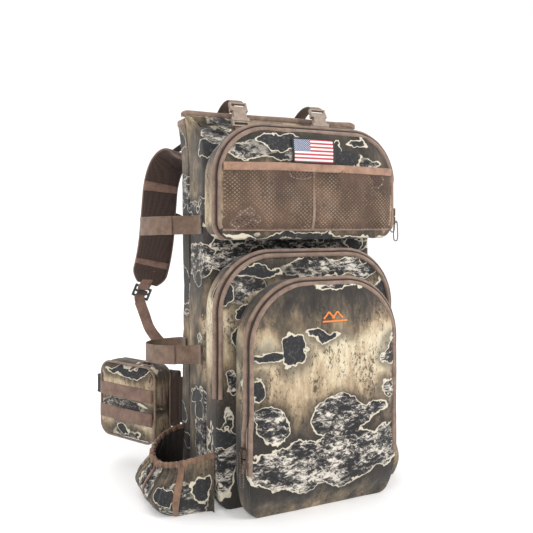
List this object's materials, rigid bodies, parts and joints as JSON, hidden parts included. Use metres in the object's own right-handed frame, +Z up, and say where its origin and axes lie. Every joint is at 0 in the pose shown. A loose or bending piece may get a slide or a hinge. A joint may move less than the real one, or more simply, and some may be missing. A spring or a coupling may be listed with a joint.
{
  "type": "hunting backpack",
  "caption": "Camouflage hunting backpack with a bow sleeve, mesh-fronted top pouch, arched zipped pockets, open side pockets with arrow loops, and a padded harness and hip belt.",
  "frame": {"origin": "centre of the flat base of the body, on the surface the pack stands on", "axes": "+Z up; -Y forwards, out of the pocketed front; +Y towards the harness and the wearer; -X is the wearer's left"},
  "size_m": [0.5796, 0.4877, 0.6934],
  "materials": {
    "camo_fabric": "brushed printed polyester in a camouflage of bark and leaves",
    "brown_webbing": "woven brown webbing and binding tape",
    "tan_trim": "folded tan elastic binding",
    "harness_fabric": "dark brown padded air mesh",
    "pocket_mesh": "open brown diamond mesh",
    "zip_tape": "brown woven zip tape with a nylon coil",
    "taupe_plastic": "moulded taupe acetal",
    "black_plastic": "moulded black acetal",
    "slider_metal": "bronze-brown painted die casting",
    "pull_cord": "braided grey-brown cord",
    "stay_aluminium": "mill finish",
    "frame_plastic": "black polyethylene sheet",
    "flag_patch": "embroidered patch with a dark border",
    "orange_stitch": "orange embroidery"
  },
  "bodies": {
    "pack": {"main_compartment": "camo_fabric", "bow_sleeve": "camo_fabric", "mouth_binding": "brown_webbing", "base_stiffener": "frame_plastic", "back_panel": "harness_fabric", "frame_sheet": "frame_plastic", "frame_stays": "stay_aluminium", "back_pads": "harness_fabric", "lumbar_pad": "harness_fabric", "haul_handle": "brown_webbing", "shoulder_strap_left": "harness_fabric", "shoulder_strap_right": "harness_fabric", "harness_webbing": "brown_webbing", "ladder_locks": "black_plastic", "upper_pouch": "camo_fabric", "pouch_zipper": "zip_tape", "rear_pocket_gusset": "camo_fabric", "rear_pocket_face": "camo_fabric", "rear_zipper": "zip_tape", "front_pocket": "camo_fabric", "front_zipper": "zip_tape", "side_pocket_left": "camo_fabric", "side_pocket_right": "camo_fabric", "side_pocket_trims": "tan_trim", "arrow_strap_upper_left": "brown_webbing", "arrow_strap_upper_right": "brown_webbing", "arrow_strap_lower_left": "brown_webbing", "arrow_strap_lower_right": "brown_webbing", "buckle_females": "taupe_plastic", "buckle_anchors": "brown_webbing"},
    "pouch_flap": {"pouch_panel": "camo_fabric", "mesh_pocket": "pocket_mesh", "mesh_trim": "tan_trim", "flag_patch": "flag_patch"},
    "front_flap": {"front_panel": "camo_fabric", "emblem": "orange_stitch"},
    "buckle_plug_left": {"buckle_male_left": "taupe_plastic", "top_strap_left": "brown_webbing"},
    "buckle_plug_right": {"buckle_male_right": "taupe_plastic", "top_strap_right": "brown_webbing"},
    "hip_wing_left_body": {"hip_wing_left": "harness_fabric", "hip_pouch_left": "camo_fabric", "hip_buckle_left": "black_plastic"},
    "hip_wing_right_body": {"hip_wing_right": "harness_fabric", "hip_pouch_right": "camo_fabric", "hip_buckle_right": "black_plastic"},
    "hip_slider_left_body": {"hip_slider_left": "slider_metal"},
    "hip_slider_right_body": {"hip_slider_right": "slider_metal"},
    "sternum_left": {"sternum_strap_left": "brown_webbing"},
    "sternum_right": {"sternum_strap_right": "brown_webbing"},
    "pouch_slider_upper_body": {"pouch_slider_upper": "slider_metal"},
    "pouch_slider_lower_body": {"pouch_slider_lower": "slider_metal"},
    "front_slider_upper_body": {"front_slider_upper": "slider_metal"},
    "front_slider_lower_body": {"front_slider_lower": "slider_metal"},
    "rear_slider_body": {"rear_slider": "slider_metal"},
    "pouch_pull_upper_body": {"pouch_pull_upper": "pull_cord"},
    "pouch_pull_lower_body": {"pouch_pull_lower": "pull_cord"},
    "front_pull_upper_body": {"front_pull_upper": "pull_cord"},
    "front_pull_lower_body": {"front_pull_lower": "pull_cord"},
    "rear_pull_body": {"rear_pull": "pull_cord"}
  },
  "joints": [
    {"name": "pouch_flap_open", "type": "hinge", "parent": "pack", "child": "pouch_flap", "pos_m": [0, -0.133, 0.45015], "axis": [1, 0, 0], "range_deg": [0, 100]},
    {"name": "front_flap_open", "type": "hinge", "parent": "pack", "child": "front_flap", "pos_m": [0, -0.185, 0.07215], "axis": [1, 0, 0], "range_deg": [0, 110]},
    {"name": "buckle_left_release", "type": "slide", "parent": "pack", "child": "buckle_plug_left", "axis": [0, 0.3987, 0.9171], "range_m": [0, 0.024]},
    {"name": "buckle_right_release", "type": "slide", "parent": "pack", "child": "buckle_plug_right", "axis": [0, 0.3987, 0.9171], "range_m": [0, 0.024]},
    {"name": "hip_wing_left_swing", "type": "hinge", "parent": "pack", "child": "hip_wing_left_body", "pos_m": [-0.156, 0.0903, 0.128], "axis": [0, 0, 1], "range_deg": [-45, 20]},
    {"name": "hip_wing_right_swing", "type": "hinge", "parent": "pack", "child": "hip_wing_right_body", "pos_m": [0.156, 0.0903, 0.128], "axis": [0, 0, 1], "range_deg": [-20, 45]},
    {"name": "hip_zip_left", "type": "slide", "parent": "hip_wing_left_body", "child": "hip_slider_left_body", "axis": [-0.5, 0.866, 0], "range_m": [0, 0.07]},
    {"name": "hip_zip_right", "type": "slide", "parent": "hip_wing_right_body", "child": "hip_slider_right_body", "axis": [0.5, 0.866, 0], "range_m": [0, 0.07]},
    {"name": "sternum_left_height", "type": "slide", "parent": "pack", "child": "sternum_left", "axis": [0.1195, 0.0683, 0.9905], "range_m": [-0.02, 0.02]},
    {"name": "sternum_right_height", "type": "slide", "parent": "pack", "child": "sternum_right", "axis": [-0.1195, 0.0683, 0.9905], "range_m": [-0.02, 0.02]},
    {"name": "pouch_zip_upper", "type": "slide", "parent": "pack", "child": "pouch_slider_upper_body", "axis": [0, 0, 1], "range_m": [0, 0.046]},
    {"name": "pouch_zip_lower", "type": "slide", "parent": "pack", "child": "pouch_slider_lower_body", "axis": [0, 0, 1], "range_m": [-0.007, 0]},
    {"name": "front_zip_upper", "type": "slide", "parent": "pack", "child": "front_slider_upper_body", "axis": [0, 0, 1], "range_m": [0, 0.15]},
    {"name": "front_zip_lower", "type": "slide", "parent": "pack", "child": "front_slider_lower_body", "axis": [0, 0, 1], "range_m": [-0.012, 0]},
    {"name": "rear_zip", "type": "slide", "parent": "pack", "child": "rear_slider_body", "axis": [0, 0, 1], "range_m": [-0.008, 0.11]},
    {"name": "pouch_pull_upper_swing", "type": "hinge", "parent": "pouch_slider_upper_body", "child": "pouch_pull_upper_body", "pos_m": [0.18, -0.114, 0.4835], "axis": [1, 0, 0], "range_deg": [0, 150]},
    {"name": "pouch_pull_lower_swing", "type": "hinge", "parent": "pouch_slider_lower_body", "child": "pouch_pull_lower_body", "pos_m": [0.18, -0.124, 0.4675], "axis": [1, 0, 0], "range_deg": [-150, 0]},
    {"name": "front_pull_upper_swing", "type": "hinge", "parent": "front_slider_upper_body", "child": "front_pull_upper_body", "pos_m": [-0.147, -0.166, 0.1065], "axis": [1, 0, 0], "range_deg": [0, 55]},
    {"name": "front_pull_lower_swing", "type": "hinge", "parent": "front_slider_lower_body", "child": "front_pull_lower_body", "pos_m": [-0.147, -0.176, 0.0905], "axis": [1, 0, 0], "range_deg": [-150, 0]},
    {"name": "rear_pull_swing", "type": "hinge", "parent": "rear_slider_body", "child": "rear_pull_body", "pos_m": [0.177, -0.115, 0.1945], "axis": [1, 0, 0], "range_deg": [-70, 70]}
  ]
}
